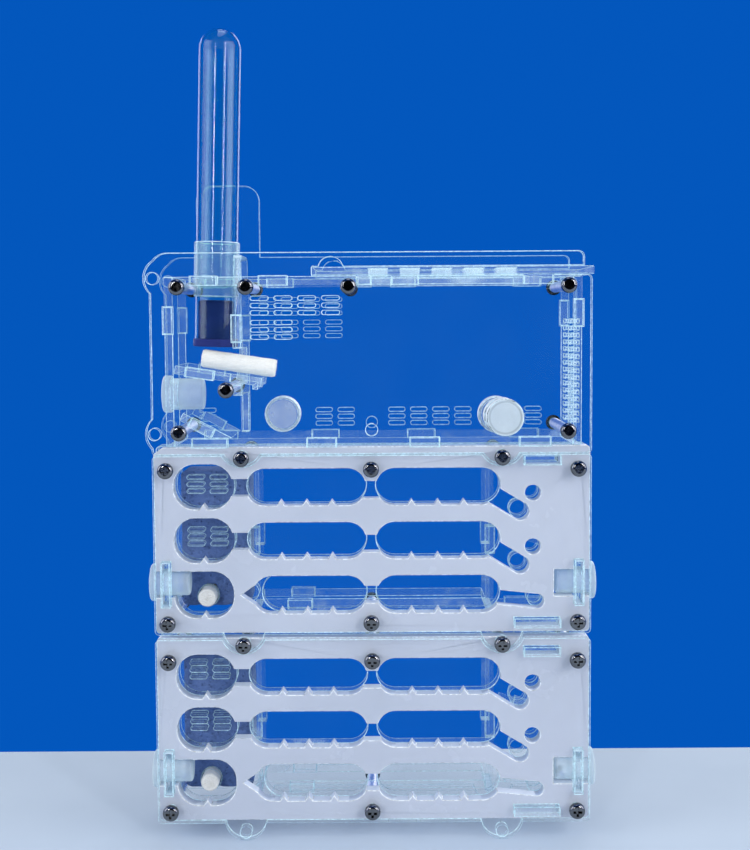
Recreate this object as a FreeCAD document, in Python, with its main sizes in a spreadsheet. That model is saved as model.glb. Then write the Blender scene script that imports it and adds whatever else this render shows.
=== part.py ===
import FreeCAD, Part
import math
import os
import Sketcher

# Ant habitat: a box-shaped foraging area on top of two nest modules, all cut
# from clear and milky acrylic sheet and held by screws.  Millimetres.
# X runs to the right, Y to the back, Z up.  The origin is on the ground under
# the middle of the modules, at half the depth.

V = FreeCAD.Vector
doc = FreeCAD.newDocument("AntHabitat")

# ---------------------------------------------------------------- sizes
SIZES = {
    # sheets and layers
    "acrylic": 3.0,
    "mask_layer": 5.0,
    "chamber_layer": 5.0,
    "rear_box": 17.0,
    "lid_sheet": 2.8,
    "tab_gap": 0.1,
    # outline of a module
    "plate_half": 79.0,
    "plate_corner": 1.5,
    "nest_tall": 68.1,
    "nest_pitch": 69.9,
    "ear_pitch": 93.8,
    "ear_radius": 7.6,
    "ear_drop": 6.4,
    "ear_hole_up": 3.0,
    "ear_bore": 4.2,
    "ear_screw_sag": 0.5,
    "ear_flat": 0.03,
    "recess_gap": 0.6,
    # screws and standoffs
    "screw_wide": 3.0,
    "screw_play": 0.1,
    "head_wide": 5.8,
    "head_tall": 2.2,
    "cross_wide": 0.9,
    "cross_long": 3.2,
    "cross_deep": 1.2,
    "thread_grip": 6.0,
    "screw_inset": 4.8,
    "standoff_wide": 4.4,
    "post_wide": 4.0,
    "bore_play": 0.05,
    # nest chambers
    "row_pitch": 19.65,
    "round_inset": 7.0,
    "round_wide": 21.5,
    "round_low": 45.4,
    "round_tall": 16.5,
    "round_corner": 7.8,
    "hall_low": 46.7,
    "hall_tall": 13.5,
    "hall_left": -45.7,
    "hall_long": 43.5,
    "hall_gap": 3.6,
    "hall_right_long": 45.2,
    "gate_low": 50.2,
    "gate_tall": 6.3,
    "tooth_tall": 2.0,
    "tooth_wide": 3.6,
    "foot_round_low": 5.5,
    "foot_round_tall": 17.2,
    "foot_hall_low": 7.0,
    "foot_hall_tall": 13.9,
    "run_radius": 3.3,
    "well_radius": 2.9,
    # nest box walls
    "wall_inset": 2.6,
    "wall_low": 8.0,
    "wall_high": 56.8,
    "stall_out": 45.2,
    "stall_low": 5.2,
    "stall_high": 61.6,
    "hall_floor_low": 6.5,
    "hall_roof_low": 62.4,
    "hall_roof_half": 44.5,
    "tower_floor_low": 2.2,
    "tower_roof_low": 61.5,
    "tower_roof_left": 49.5,
    "tower_inset": 7.4,
    "port_high": 17.9,
    "port_bore": 9.8,
    "port_play": 0.1,
    "port_tab_low": 10.3,
    "port_tab_high": 26.4,
    "plug_flange": 2.1,
    "plug_flange_wide": 13.6,
    "plug_inside": 12.0,
    "sponge_gap": 0.4,
    "sponge_wide": 25.9,
    "sponge_low": 7.0,
    "sponge_high": 58.0,
    "wick_wide": 7.0,
    "wick_play": 0.3,
    "wick_front": 9.5,
    "wick_long": 15.0,
    # foraging area
    "house_gap": 0.3,
    "house_low": 141.8,
    "house_top": 214.3,
    "side_ear_out": 2.25,
    "left_wall_inset": 4.8,
    "right_wall_inset": 3.2,
    "floor_low": 144.6,
    "roof_low": 202.8,
    "lid_left": -20.8,
    "lid_over": 1.2,
    "lid_play": 0.2,
    "strip_inset": 2.8,
    "strip_corner": 2.2,
    "post_room": 0.6,
    "right_tab_rise": 2.0,
    "guard_high": 241.4,
    "guard_corner": 6.0,
    "arch_radius": 4.4,
    "arch_from_lid": 6.5,
    "divide_left": -49.8,
    "tab_rise": 8.0,
    "door_high": 163.0,
    "hatch_low": 167.0,
    "hatch_high": 180.0,
    "vent_long": 6.2,
    "vent_wide": 1.4,
    "vent_step": 8.5,
    "vent_row": 2.6,
    "vent_first": -43.0,
    "house_port_high": 162.9,
    "house_port_bore": 11.8,
    "house_plug_inside": 11.9,
    # water feeder
    "tube_tilt": 1.65,
    "tube_foot_x": -57.75,
    "tube_foot": 183.5,
    "tube_wide": 15.4,
    "tube_wall": 1.0,
    "tube_long": 113.4,
    "stopper_in": 14.1,
    "stopper_flange": 3.0,
    "stopper_flange_wide": 16.6,
    "stopper_play": 0.1,
    "collar_from": 15.4,
    "collar_long": 20.1,
    "collar_wall": 0.6,
    "collar_play": 0.1,
    "collar_room": 0.5,
    "shelf_left_top": 174.1,
    "shelf_right": -39.4,
    "shelf_right_top": 169.3,
    "ramp_left": -68.0,
    "ramp_left_top": 156.9,
    "ramp_right": -50.6,
    "ramp_right_top": 147.9,
    "rod_wide": 6.8,
    "rod_from": 8.4,
    "rod_long": 27.8,
    # dishes
    "dish_wide": 13.6,
    "dish_deep": 5.5,
    "dish_wall": 0.9,
    "rest_gap": 0.1,
}

sheet = doc.addObject("Spreadsheet::Sheet", "Sizes")
for row, (alias, number) in enumerate(SIZES.items(), start=1):
    sheet.set("A%d" % row, alias)
    sheet.set("B%d" % row, str(number))
    sheet.setAlias("B%d" % row, alias)
doc.recompute()


class Length:
    """A size with its value and with the sheet expression that gives it."""

    def __init__(self, value, text):
        self.value = float(value)
        self.text = text

    def __add__(self, other):
        other = length(other)
        return Length(self.value + other.value, "(%s + %s)" % (self.text, other.text))

    def __sub__(self, other):
        other = length(other)
        return Length(self.value - other.value, "(%s - %s)" % (self.text, other.text))

    def __mul__(self, other):
        other = length(other)
        return Length(self.value * other.value, "(%s * %s)" % (self.text, other.text))

    def __truediv__(self, other):
        other = length(other)
        return Length(self.value / other.value, "(%s / %s)" % (self.text, other.text))

    def __neg__(self):
        return Length(-self.value, "(0 - %s)" % self.text)

    def __radd__(self, other):
        return length(other) + self

    def __rsub__(self, other):
        return length(other) - self

    def __rmul__(self, other):
        return length(other) * self


def length(number):
    if isinstance(number, Length):
        return number
    return Length(number, "(%.6f)" % number)


def size(alias):
    return Length(SIZES[alias], "Sizes." + alias)


def root(number):
    return Length(math.sqrt(number.value), "sqrt(%s)" % number.text)


# ---------------------------------------------------------------- sketching
class Drawing:
    """Lines, arcs and constraints that go into one sketch together."""

    def __init__(self, sketch):
        self.sketch = sketch
        self.shapes = []
        self.constraints = []
        self.texts = []

    def draw(self, shape):
        self.shapes.append(shape)
        return len(self.shapes) - 1

    def hold(self, *constraint):
        self.constraints.append(Sketcher.Constraint(*constraint))

    def measure(self, value, *constraint):
        """A dimension whose value comes from the sheet."""
        self.texts.append((len(self.constraints), value.text))
        self.hold(*constraint, value.value)

    def finish(self):
        self.sketch.addGeometry(self.shapes, False)
        self.sketch.addConstraint(self.constraints)
        for number, text in self.texts:
            self.sketch.setExpression("Constraints[%d]" % number, text)
        return self.sketch


def fix_point(sketch, shape, point, x, y):
    """Ties one point of a sketch to the sketch's origin, along x and y."""
    sketch.measure(length(x), "DistanceX", -1, 1, shape, point)
    sketch.measure(length(y), "DistanceY", -1, 1, shape, point)


def fix_radius(sketch, shape, radius):
    sketch.measure(radius, "Radius", shape)


def circle(sketch, x, y, radius):
    x, y, radius = length(x), length(y), length(radius)
    ring = sketch.draw(
        Part.Circle(V(x.value, y.value, 0), V(0, 0, 1), radius.value))
    fix_point(sketch, ring, 3, x, y)
    fix_radius(sketch, ring, radius)


def loop(sketch, corners):
    """A closed outline.  A corner is (x, y), or (x, y, radius) where the two
    edges that meet there run along the axes."""
    points = [(length(c[0]), length(c[1])) for c in corners]
    radii = [length(c[2]) if len(c) > 2 else None for c in corners]
    count = len(corners)
    ends = []
    for i, (x, y) in enumerate(points):
        if radii[i] is None:
            ends.append((V(x.value, y.value, 0),) * 2 + (None, None))
            continue
        before, after = points[i - 1], points[(i + 1) % count]
        r = radii[i]
        side = [0, 0]
        for other in (before, after):
            if abs(other[0].value - x.value) > 1e-9:
                side[0] = 1 if other[0].value > x.value else -1
            else:
                side[1] = 1 if other[1].value > y.value else -1
        middle = (x + r * side[0], y + r * side[1])
        heart = V(middle[0].value, middle[1].value, 0)
        along_x = V(x.value + side[0] * r.value, y.value, 0)
        along_y = V(x.value, y.value + side[1] * r.value, 0)
        first_is_x = abs(before[0].value - x.value) > 1e-9
        start, stop = (along_x, along_y) if first_is_x else (along_y, along_x)
        ends.append((start, stop, heart, middle))
    lines = []
    for i in range(count):
        lines.append(sketch.draw(
            Part.LineSegment(ends[i][1], ends[(i + 1) % count][0])))
    for i in range(count):
        start, stop, heart, middle = ends[i]
        if heart is None:
            sketch.hold("Coincident", lines[i - 1], 2, lines[i], 1)
            fix_point(sketch, lines[i], 1, *points[i])
            continue
        first = math.atan2(start.y - heart.y, start.x - heart.x)
        last = math.atan2(stop.y - heart.y, stop.x - heart.x)
        turn = (last - first) % (2 * math.pi)
        ahead = turn < math.pi
        low, high = (first, last) if ahead else (last, first)
        arc = sketch.draw(Part.ArcOfCircle(
            Part.Circle(heart, V(0, 0, 1), radii[i].value), low, high))
        near, far = (1, 2) if ahead else (2, 1)
        sketch.hold("Tangent", lines[i - 1], 2, arc, near)
        sketch.hold("Tangent", lines[i], 1, arc, far)
        fix_point(sketch, arc, 3, *middle)
        fix_radius(sketch, arc, radii[i])


def oblong(sketch, x1, y1, x2, y2, corner=None):
    """A rectangle along the axes, with one corner radius or square corners."""
    tail = () if corner is None else (corner,)
    loop(sketch, [(x1, y1) + tail, (x2, y1) + tail, (x2, y2) + tail, (x1, y2) + tail])


def stadium(sketch, x1, y1, x2, y2, radius):
    """A slot with round ends, whose end centres are the two points."""
    x1, y1, x2, y2 = length(x1), length(y1), length(x2), length(y2)
    radius = length(radius)
    r = radius.value
    turn = math.atan2(y2.value - y1.value, x2.value - x1.value)
    across = V(-math.sin(turn) * r, math.cos(turn) * r, 0)
    left, right = V(x1.value, y1.value, 0), V(x2.value, y2.value, 0)
    quarter = math.pi / 2
    cap1 = sketch.draw(Part.ArcOfCircle(
        Part.Circle(left, V(0, 0, 1), r), turn + quarter, turn + 3 * quarter))
    cap2 = sketch.draw(Part.ArcOfCircle(
        Part.Circle(right, V(0, 0, 1), r), turn - quarter, turn + quarter))
    upper = sketch.draw(Part.LineSegment(left + across, right + across))
    lower = sketch.draw(Part.LineSegment(left - across, right - across))
    for line, end, cap, cap_end in (
            (upper, 1, cap1, 1), (upper, 2, cap2, 2),
            (lower, 1, cap1, 2), (lower, 2, cap2, 1)):
        sketch.hold("Tangent", line, end, cap, cap_end)
    sketch.hold("Equal", cap1, cap2)
    fix_radius(sketch, cap1, radius)
    fix_point(sketch, cap1, 3, x1, y1)
    fix_point(sketch, cap2, 3, x2, y2)


def slot(sketch, x1, x2, y, width):
    """A round-ended vent slot along x, from end to end."""
    x1, x2, y, width = length(x1), length(x2), length(y), length(width)
    stadium(sketch, x1 + width / 2, y, x2 - width / 2, y, width / 2)


# ---------------------------------------------------------------- bodies
BODIES = {}


def new_body(name, x=0, y=0, z=0):
    body = doc.addObject("PartDesign::Body", name)
    body.Label = name
    for axis, place in (("x", x), ("y", y), ("z", z)):
        body.setExpression("Placement.Base." + axis, length(place).text)
    BODIES[name] = body
    return body


def new_sketch(body, name, plane, offset=None):
    sketch = body.newObject("Sketcher::SketchObject", name)
    support = [f for f in body.Origin.OriginFeatures if f.Role == plane + "_Plane"][0]
    sketch.AttachmentSupport = [(support, "")]
    sketch.MapMode = "FlatFace"
    if offset is not None:
        sketch.setExpression("AttachmentOffset.Base.z", offset.text)
    return Drawing(sketch)


def pad(body, sketch, tall, backwards=False):
    feature = body.newObject("PartDesign::Pad", "Pad")
    feature.Profile = sketch.finish()
    feature.Reversed = backwards
    feature.setExpression("Length", length(tall).text)
    body.Tip = feature
    return feature


def pocket(body, sketch, deep=None, backwards=False):
    feature = body.newObject("PartDesign::Pocket", "Pocket")
    feature.Profile = sketch.finish()
    feature.Reversed = backwards
    feature.Refine = False
    if deep is None:
        feature.Type = "ThroughAll"
        feature.Midplane = True
    else:
        feature.setExpression("Length", length(deep).text)
    body.Tip = feature
    return feature


def turn_solid(body, sketch):
    feature = body.newObject("PartDesign::Revolution", "Turned")
    feature.Profile = sketch.finish()
    feature.ReferenceAxis = (sketch.sketch, ["V_Axis"])
    feature.Angle = 360
    body.Tip = feature
    return feature


def repeat(body, feature, sketch, count, step):
    """More copies of a cut, one step apart along the sketch's own y."""
    rows = body.newObject("PartDesign::LinearPattern", "Rows")
    rows.Originals = [feature]
    rows.Direction = (sketch.sketch, ["V_Axis"])
    rows.setExpression("Length", (length(step) * (count - 1)).text)
    rows.Occurrences = count
    rows.Refine = False
    body.Tip = rows


def cut_slots(body, plane, count, step, draw):
    """Rows of vent slots: the lowest row is drawn and repeated upward."""
    sketch = new_sketch(body, "Vents", plane)
    draw(sketch)
    repeat(body, pocket(body, sketch), sketch, count, step)


def upright(name, front, base, thick, outline):
    """A sheet that faces the front: its outline is drawn in X and Z, and it
    grows to the back from the depth called front."""
    body = new_body(name, y=front, z=base)
    sketch = new_sketch(body, "Outline", "XZ")
    outline(sketch)
    pad(body, sketch, thick, backwards=True)
    return body


def cut(body, name, draw):
    sketch = new_sketch(body, name, "XZ")
    draw(sketch)
    pocket(body, sketch)


def add(body, name, draw, thick, offset=None):
    """More sheet of the same body.  The offset runs to the back."""
    sketch = new_sketch(body, name, "XZ", None if offset is None else -offset)
    draw(sketch)
    pad(body, sketch, thick, backwards=True)


# ---------------------------------------------------------------- depths
# Depths are counted from the front face of the front sheets.
ACRYLIC = size("acrylic")
MASK_AT = ACRYLIC
CHAMBER_AT = MASK_AT + size("mask_layer")
DIVIDER_AT = CHAMBER_AT + size("chamber_layer")
BOX_AT = DIVIDER_AT + ACRYLIC
BACK_AT = BOX_AT + size("rear_box")
DEPTH = BACK_AT + ACRYLIC
HALF = DEPTH / 2
ROOM = BACK_AT - ACRYLIC

NEST_LOW = size("ear_drop")
NEST_HIGH = NEST_LOW + size("nest_pitch")
HOUSE_LINE = NEST_HIGH + size("nest_tall")
EAR_X = size("ear_pitch") / 2
SCREW_R = size("screw_wide") / 2
SCREW_HOLE_R = SCREW_R + size("screw_play")
GAP = size("tab_gap")


def deep(number):
    """A depth from the front face, as a place along Y."""
    return length(number) - HALF


# ---------------------------------------------------------------- screws
CORNER_X = size("plate_half") - size("screw_inset")
NEST_SCREWS = [
    (-CORNER_X, length(60.0)), (CORNER_X, length(60.0)),
    (-CORNER_X, length(4.2)), (CORNER_X, length(4.2)),
    (length(-0.3), length(60.1)), (length(-0.5), length(4.2)),
]
LEFT_OUT = size("left_wall_inset") - size("plate_half")
LEFT_IN = LEFT_OUT + ACRYLIC
RIGHT_OUT = size("plate_half") - size("right_wall_inset")
RIGHT_IN = RIGHT_OUT - ACRYLIC
FLOOR_TOP = size("floor_low") + ACRYLIC
POST_R = size("post_wide") / 2
POST_LEFT = LEFT_IN + POST_R + 0.1
POST_RIGHT = RIGHT_IN - POST_R - 0.3
POST_TOP = size("roof_low") - 0.8
POST_FOOT = FLOOR_TOP + POST_R + 0.3
HOUSE_SCREWS = [
    (POST_LEFT, POST_TOP), (length(-44.6), POST_TOP),
    (length(-8.0), POST_TOP), (POST_RIGHT, POST_TOP),
    (POST_LEFT, POST_FOOT), (POST_RIGHT, POST_FOOT),
    (size("divide_left") - POST_R - 0.2, length(165.2)),
]


def nest_base(name):
    return NEST_LOW if name == "lower_nest" else NEST_HIGH


def ear_height(name):
    """Height of the screws in the ears of the part above, from this base."""
    line = NEST_HIGH if name == "lower_nest" else HOUSE_LINE
    hole = line - size("ear_drop") + size("ear_hole_up")
    return hole - size("ear_screw_sag") - nest_base(name)


def nest_screws(name):
    return NEST_SCREWS + [(-EAR_X, ear_height(name)), (EAR_X, ear_height(name))]


def screw_holes(sketch, places):
    for x, z in places:
        circle(sketch, x, z, SCREW_HOLE_R)


def draw_ear(sketch, x, line):
    """A half-round ear that hangs under the line, nearly flat at its foot."""
    r = size("ear_radius")
    side = r - size("ear_flat")
    low = line - size("ear_drop")
    loop(sketch, [(x - r, low, side), (x + r, low, side),
                  (x + r, low + r + 1.0), (x - r, low + r + 1.0)])


def draw_recess(sketch, x, line, top):
    """The place that an ear of the part above needs in this sheet's edge."""
    gap = size("recess_gap")
    r = size("ear_radius") + gap
    low = line - size("ear_drop") - gap
    side = r - size("ear_flat")
    loop(sketch, [(x - r, low, side), (x + r, low, side), (x + r, top), (x - r, top)])


# ---------------------------------------------------------------- nest plates
WALL_OUT = size("plate_half") - size("wall_inset")
WALL_IN = WALL_OUT - ACRYLIC
ROUND_LEFT = size("round_inset") - size("plate_half")
TOWER_RIGHT = size("plate_half") - size("tower_inset")
STALL_IN = size("stall_out") - ACRYLIC
TOWER_TAB = (51.5, 68.0)
ROOF_TAB = (55.0, 68.0)
HALL_TAB = (-31.5, -22.7)
STALL_TAB = (27.0, 37.0)
ROOF_TABS = ((-20.0, -10.0), (10.0, 20.0))


def port_tab_slots(sketch):
    for side in (-1, 1):
        a = (WALL_OUT + GAP) * side
        b = (WALL_IN - GAP) * side
        low, high = (a, b) if side < 0 else (b, a)
        oblong(sketch, low, size("port_tab_low") - GAP,
               high, size("port_tab_high") + GAP)


def tower_tab_slots(sketch):
    for low, (x1, x2) in (("tower_floor_low", TOWER_TAB), ("tower_roof_low", ROOF_TAB)):
        oblong(sketch, x1 - GAP, size(low) - GAP, x2 + GAP, size(low) + ACRYLIC + GAP)


def box_tab_slots(sketch):
    """Slots for the tabs of the floor, roof and stalls behind the divider."""
    x1, x2 = HALL_TAB
    low = size("hall_floor_low")
    oblong(sketch, x1 - GAP, low - GAP, x2 + GAP, low + ACRYLIC + GAP)
    low = size("hall_roof_low")
    for x1, x2 in ROOF_TABS:
        oblong(sketch, x1 - GAP, low - GAP, x2 + GAP, low + ACRYLIC + GAP)
    for side in (-1, 1):
        a, b = size("stall_out") * side, STALL_IN * side
        low, high = (a, b) if side < 0 else (b, a)
        oblong(sketch, low - GAP, STALL_TAB[0] - GAP, high + GAP, STALL_TAB[1] + GAP)
    ramp_slot(sketch)


RAMP = ((49.0, 38.0), (70.5, 30.0))


def slope_points(x1, z1, x2, z2, thick, start, stop, gap=0.0):
    """Corners of a stretch of a sloping sheet, from its upper line.  start and
    stop are lengths along the slope from its first point."""
    x1, z1, x2, z2 = length(x1), length(z1), length(x2), length(z2)
    run, rise = x2 - x1, z2 - z1
    whole = root(run * run + rise * rise)
    ux, uz = run / whole, rise / whole
    thick = length(thick)
    corners = []
    for along, down in ((start, 0), (stop, 0), (stop, 1), (start, 1)):
        along = length(along) + (gap if along is stop else -gap)
        below = thick + gap if down else length(-gap)
        corners.append((x1 + ux * along + uz * below, z1 + uz * along - ux * below))
    return corners


def ramp_slot(sketch):
    (x1, z1), (x2, z2) = RAMP
    loop(sketch, slope_points(x1, z1, x2, z2, ACRYLIC, 7.0, 16.0, SIZES["tab_gap"]))


def nest_outline(name, sketch, top=None):
    half = size("plate_half")
    oblong(sketch, -half, 0, half, top or size("nest_tall"), size("plate_corner"))


def outer_top(name):
    """Upper edge of the outer sheets, lower where the house sheets come down."""
    if name == "lower_nest":
        return size("nest_tall")
    return size("house_low") - size("house_gap") - NEST_HIGH


def outer_sheet(name, part, depth):
    """Front cover or back sheet of a nest, with its ears."""
    base = nest_base(name)
    body = upright(name + "_" + part, deep(depth), base, ACRYLIC,
                   lambda s: nest_outline(name, s, outer_top(name)))
    line = length(0)
    for label, x in (("EarLeft", -EAR_X), ("EarRight", EAR_X)):
        add(body, label, lambda s, x=x: draw_ear(s, x, line), ACRYLIC)
    above = (NEST_HIGH if name == "lower_nest" else HOUSE_LINE) - base
    top = size("nest_tall") + 2.0

    def recesses(sketch):
        for x in (-EAR_X, EAR_X):
            draw_recess(sketch, x, above, top)

    def holes(sketch):
        screw_holes(sketch, NEST_SCREWS)
        for x in (-EAR_X, EAR_X):
            circle(sketch, x, size("ear_hole_up") - size("ear_drop"), size("ear_bore") / 2)

    cut(body, "Recesses", recesses)
    cut(body, "Holes", holes)
    return body


def nest_cover(name):
    body = outer_sheet(name, "cover", 0)
    cut(body, "TowerTabs", tower_tab_slots)
    cut(body, "PortTabs", port_tab_slots)


def nest_back(name):
    body = outer_sheet(name, "back_plate", BACK_AT)
    cut(body, "TowerTabs", tower_tab_slots)
    cut(body, "BoxTabs", box_tab_slots)


def room_row(row):
    """Lower edge and height of a row's round room and of its long halls."""
    if row == 2:
        return (size("foot_round_low"), size("foot_round_tall"),
                size("foot_hall_low"), size("foot_hall_tall"))
    drop = size("row_pitch") * row
    return (size("round_low") - drop, size("round_tall"),
            size("hall_low") - drop, size("hall_tall"))


def rooms(sketch, row, shift):
    """The round room and the two long halls of one row."""
    left, wide = ROUND_LEFT, size("round_wide")
    hall, gap = size("hall_left"), size("hall_gap")
    first, second = size("hall_long"), size("hall_right_long")
    low, tall, hall_low, hall_tall = room_row(row)
    oblong(sketch, left, low, left + wide, low + tall, size("round_corner"))
    r = hall_tall / 2
    stadium(sketch, hall + shift + r, hall_low + r, hall + first - r, hall_low + r, r)
    start = hall + first + gap
    stadium(sketch, start + r, hall_low + r, start + second - r, hall_low + r, r)


def cut_rooms(body, shift):
    """All rooms of a layer.  The first hall of the lowest row starts later."""
    for row in range(3):
        cut(body, "Rooms", lambda s, row=row: rooms(s, row, shift if row == 2 else 0))


def gates(sketch):
    """Short passages that join the rooms of a row in the milky layer."""
    hall, first, gap = size("hall_left"), size("hall_long"), size("hall_gap")
    for row in range(2):
        low = size("gate_low") - size("row_pitch") * row
        high = low + size("gate_tall")
        oblong(sketch, hall - 8.5, low, hall + 4.0, high)
        oblong(sketch, hall + first - 4.0, low - 1.0, hall + first + gap + 4.0, high - 1.0)
    middle = size("foot_hall_low") + size("foot_hall_tall") / 2
    half = size("gate_tall") / 2
    oblong(sketch, hall + first - 5.0, middle - half, hall + first + gap + 4.0, middle + half)


def runs(sketch):
    """Narrow runs from the right-hand halls to the tower behind them."""
    r = size("run_radius")
    for row in range(2):
        drop = size("row_pitch") * row
        stadium(sketch, 42.5, 51.0 - drop, 53.7, 44.2 - drop, r)
    stadium(sketch, 43.0, 12.9, 59.8, 11.1, r - 0.6)


def wells(sketch):
    for row in range(2):
        circle(sketch, 58.3, 50.9 - size("row_pitch") * row, size("well_radius"))


TEETH = (-33.2, -23.9, -14.6, 14.3, 23.9, 33.3)


def teeth(sketch, row):
    """Small points that stand up from the lower edge of each room."""
    tall, half = size("tooth_tall"), size("tooth_wide") / 2
    low, _, hall_low, _ = room_row(row)
    for x in TEETH:
        loop(sketch, [(x - half, hall_low - 0.6), (x + half, hall_low - 0.6),
                      (x, hall_low + tall)])
    x = ROUND_LEFT + size("round_wide") / 2
    loop(sketch, [(x - half, low - 0.6), (x + half, low - 0.6), (x, low + tall)])


def port_ways(sketch):
    """Open ways for the port plugs, from the side edges inward."""
    half = size("port_bore") / 2
    edge = size("plate_half")
    for side in (-1, 1):
        inner = (edge - size("plug_inside") - 1.0) * side
        outer = (edge + 1.0) * side
        low, high = (outer, inner) if side < 0 else (inner, outer)
        oblong(sketch, low, size("port_high") - half, high, size("port_high") + half)


def nest_mask(name):
    body = upright(name + "_chamber_mask", deep(MASK_AT), nest_base(name),
                   size("mask_layer"), lambda s: nest_outline(name, s))
    cut_rooms(body, 2.0)
    cut(body, "Gates", gates)
    cut(body, "Runs", runs)
    cut(body, "Wells", wells)

    def point(sketch):
        left = size("hall_left") - 2.3
        middle = size("foot_hall_low") + size("foot_hall_tall") / 2
        loop(sketch, [(left, middle), (left + 9.0, middle - 6.2), (left + 9.0, middle + 6.2)])

    cut(body, "PointedEnd", point)
    for row in range(3):
        add(body, "Teeth", lambda s, row=row: teeth(s, row), size("mask_layer"))
    cut(body, "Ports", port_ways)
    nest_layer_holes(body, name)
    if name == "upper_nest":
        top, edge = size("nest_tall"), -size("plate_half")
        cut(body, "Chamfer", lambda s: loop(s, [
            (edge - 1.0, top - 3.2), (edge + 4.6, top + 1.0), (edge - 1.0, top + 1.0)]))


def nest_layer_holes(body, name):
    cut(body, "Screws", lambda s: screw_holes(s, nest_screws(name)))
    cut(body, "TowerTabs", tower_tab_slots)
    cut(body, "PortTabs", port_tab_slots)


def nest_chambers(name):
    body = upright(name + "_chamber_plate", deep(CHAMBER_AT), nest_base(name),
                   size("chamber_layer"), lambda s: nest_outline(name, s))
    cut_rooms(body, 5.2)
    cut(body, "Wells", wells)

    def small_rooms(sketch):
        r = size("run_radius")
        middle = size("foot_hall_low") + size("foot_hall_tall") / 2
        circle(sketch, -45.1, middle, 3.1)
        for row in range(2):
            circle(sketch, 53.7, 44.2 - size("row_pitch") * row, r)
        circle(sketch, 59.8, 11.1, r - 0.6)

    cut(body, "SmallRooms", small_rooms)
    cut(body, "Ports", port_ways)
    nest_layer_holes(body, name)


def nest_divider(name):
    body = upright(name + "_divider", deep(DIVIDER_AT), nest_base(name),
                   ACRYLIC, lambda s: nest_outline(name, s))

    def vents(sketch):
        for row in range(2):
            for x in (ROUND_LEFT + 3.5, ROUND_LEFT + 12.0):
                slot(sketch, x, x + size("vent_long"), 50.7 - size("row_pitch") * row,
                     size("vent_wide"))

    def passages(sketch):
        for row in range(2):
            drop = size("row_pitch") * row
            circle(sketch, 53.7, 44.2 - drop, size("well_radius"))
            circle(sketch, 58.3, 50.9 - drop, size("well_radius"))
        circle(sketch, 59.8, 11.1, 2.6)
        circle(sketch, *WICK_AT, size("wick_wide") / 2 + size("wick_play"))

    cut_slots(body, "XZ", 3, size("vent_row"), vents)
    cut(body, "Passages", passages)
    cut(body, "BoxTabs", box_tab_slots)
    nest_layer_holes(body, name)


WICK_AT = (ROUND_LEFT + 10.7, 11.4)


# ---------------------------------------------------------------- nest box
def flat_board(name, base, low, x1, x2, tabs, reach):
    """A level board of the rear box.  tabs are the stretches that pass into
    the sheets before and behind it, reach is where the front tabs end."""
    body = new_body(name, y=deep(0), z=base)
    sketch = new_sketch(body, "Board", "XY", low)
    oblong(sketch, x1, BOX_AT, x2, BACK_AT)
    pad(body, sketch, ACRYLIC)
    sketch = new_sketch(body, "Tabs", "XY", low)
    for a, b in tabs:
        oblong(sketch, a, reach, b, DEPTH)
    pad(body, sketch, ACRYLIC)
    return body


def side_wall(name, part, side):
    """Outer wall of the rear box, with a tab to the front that holds a port."""
    body = new_body(name + "_" + part, y=deep(0), z=nest_base(name))
    start = -WALL_OUT if side < 0 else WALL_IN
    sketch = new_sketch(body, "Wall", "YZ", start)
    oblong(sketch, BOX_AT, size("wall_low"), BACK_AT, size("wall_high"))
    pad(body, sketch, ACRYLIC)
    sketch = new_sketch(body, "PortTab", "YZ", start)
    oblong(sketch, 0, size("port_tab_low"), BOX_AT + 4.0, size("port_tab_high"), 1.0)
    pad(body, sketch, ACRYLIC)
    sketch = new_sketch(body, "Port", "YZ")
    circle(sketch, CHAMBER_AT, size("port_high"), size("port_bore") / 2)
    pocket(body, sketch)


def stall_wall(name, part, side):
    """Inner wall between the middle room and a side room of the rear box."""
    body = new_body(name + "_" + part, y=deep(0), z=nest_base(name))
    start = -size("stall_out") if side < 0 else STALL_IN
    sketch = new_sketch(body, "Wall", "YZ", start)
    oblong(sketch, BOX_AT, size("stall_low"), BACK_AT, size("stall_high"))
    pad(body, sketch, ACRYLIC)
    sketch = new_sketch(body, "Tabs", "YZ", start)
    oblong(sketch, DIVIDER_AT, STALL_TAB[0], DEPTH, STALL_TAB[1])
    pad(body, sketch, ACRYLIC)


def tower_ramp(name):
    (x1, z1), (x2, z2) = RAMP
    whole = math.hypot(x2 - x1, z2 - z1)
    body = new_body(name + "_tower_ramp", y=deep(0), z=nest_base(name))
    add(body, "Board", lambda s: loop(
        s, slope_points(x1, z1, x2, z2, ACRYLIC, 0.0, whole)), size("rear_box"), BOX_AT)
    add(body, "Tabs", lambda s: loop(
        s, slope_points(x1, z1, x2, z2, ACRYLIC, 7.0, 16.0)), DEPTH - DIVIDER_AT, DIVIDER_AT)


def sponge(name):
    right = -size("stall_out") - size("sponge_gap")
    left = right - size("sponge_wide")
    body = new_body(name + "_moisture_sponge", y=deep(0), z=nest_base(name))
    front = BOX_AT + size("sponge_gap")
    add(body, "Block", lambda s: oblong(
        s, left, size("sponge_low"), right, size("sponge_high"), 2.0),
        size("rear_box") - size("sponge_gap") * 2, front)
    sketch = new_sketch(body, "WickHole", "XZ", -front)
    circle(sketch, *WICK_AT, size("wick_wide") / 2 + 0.1)
    pocket(body, sketch, size("wick_front") + size("wick_long") + 0.2 - front)


def nest_wick(name):
    body = new_body(name + "_wick", x=WICK_AT[0], y=deep(size("wick_front")),
                    z=nest_base(name) + WICK_AT[1])
    add(body, "Rod", lambda s: circle(s, 0, 0, size("wick_wide") / 2), size("wick_long"))


def plug_profile(sketch, body_r, flange_r, flange, inside):
    """Half section of a plug that points up, with its flange below zero."""
    loop(sketch, [(0, -flange), (flange_r, -flange, 0.6), (flange_r, 0), (body_r, 0),
                  (body_r, inside, 0.8), (0, inside)])


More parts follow.
